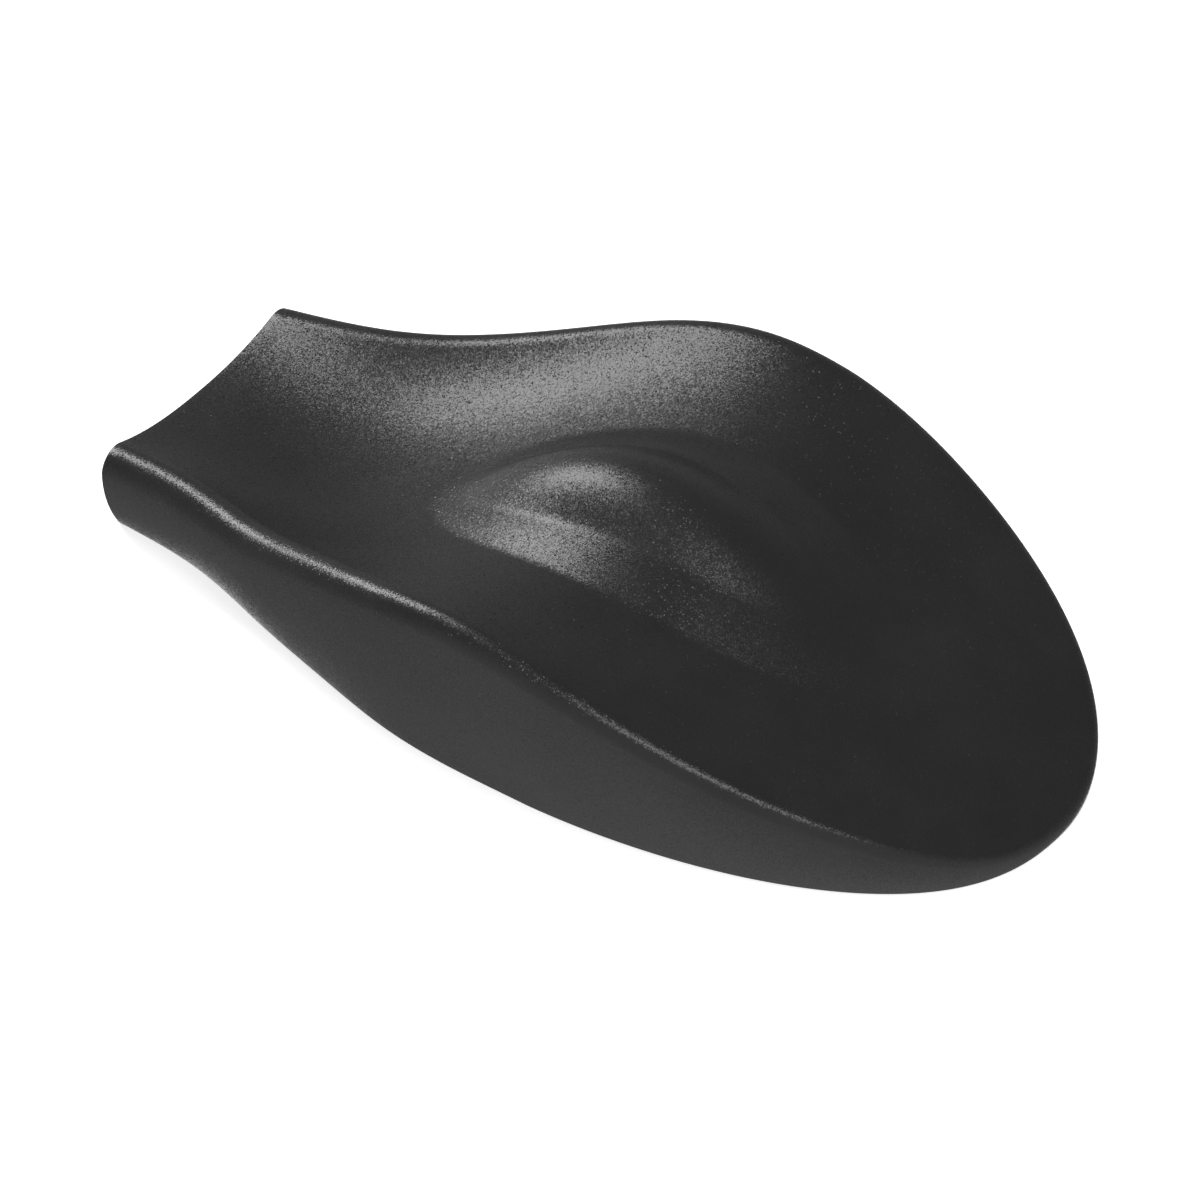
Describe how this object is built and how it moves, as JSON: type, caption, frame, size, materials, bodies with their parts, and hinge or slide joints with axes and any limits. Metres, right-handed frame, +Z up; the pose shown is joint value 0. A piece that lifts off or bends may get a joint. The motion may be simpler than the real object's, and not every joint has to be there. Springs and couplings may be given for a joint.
{
  "type": "hand-held leaf scoop",
  "caption": "Palm-sized leaf scoop of moulded plastic: shallow bowl with a raised hand mound, rounded rim, drafted skirt, and a sleeved grip bar in its hollow back.",
  "frame": {"origin": "middle of the scoop's length, on the plane that its bottom edge rests on, on the plane of symmetry", "axes": "+X from heel to tip, +Y across the scoop, +Z up out of the bowl"},
  "size_m": [0.3845, 0.2158, 0.0866],
  "materials": {
    "moulded_shell": "matt black, finely grained moulding",
    "bracket": "satin black glass-filled nylon",
    "core": "satin dark nylon",
    "sleeve": "soft matt rubber",
    "screw": "stainless steel"
  },
  "bodies": {
    "root": {"scoop_shell": "moulded_shell", "grip_bracket_left": "bracket", "grip_bracket_right": "bracket", "grip_core": "core", "grip_sleeve": "sleeve", "bracket_screw_1": "screw", "bracket_screw_2": "screw", "bracket_screw_3": "screw", "bracket_screw_4": "screw", "bar_screw_left": "screw", "bar_screw_right": "screw"}
  },
  "joints": []
}
